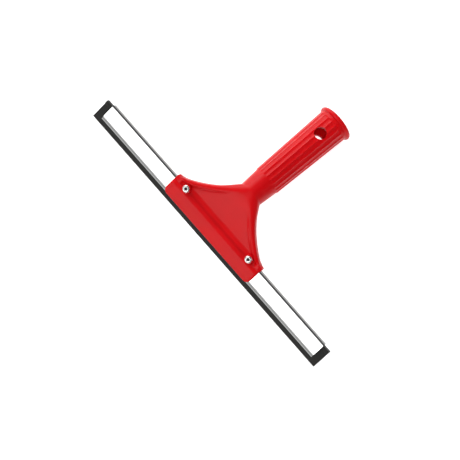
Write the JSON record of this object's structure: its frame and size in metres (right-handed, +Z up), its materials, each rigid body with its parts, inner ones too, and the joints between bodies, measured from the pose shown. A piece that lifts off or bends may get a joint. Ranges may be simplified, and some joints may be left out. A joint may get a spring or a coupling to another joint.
{
  "type": "window cleaning squeegee",
  "caption": "Window squeegee: a straight rubber blade in a folded steel channel, held by a riveted plastic head whose fluted hollow handle takes an extension pole.",
  "frame": {"origin": "centre of the bounding box's base, on the surface that the squeegee lies on face up", "axes": "+X along the blade to the right seen from above with the handle pointing away, +Y from the blade to the handle's end, +Z up"},
  "size_m": [0.35, 0.1876, 0.0429],
  "materials": {
    "red_polypropylene": "satin moulded",
    "stainless_steel": "bright rolled",
    "black_rubber": "matte",
    "aluminium": "plain",
    "pin_steel": "plain"
  },
  "bodies": {
    "holder": {"moulded_handle": "red_polypropylene", "blade_channel": "stainless_steel", "rivet_left": "aluminium", "rivet_right": "aluminium", "rivet_pin_left": "pin_steel", "rivet_pin_right": "pin_steel"},
    "strip": {"rubber_blade": "black_rubber"}
  },
  "joints": [
    {"name": "strip_slide", "type": "slide", "parent": "holder", "child": "strip", "axis": [1, 0, 0], "range_m": [-0.3, 0.3]}
  ]
}
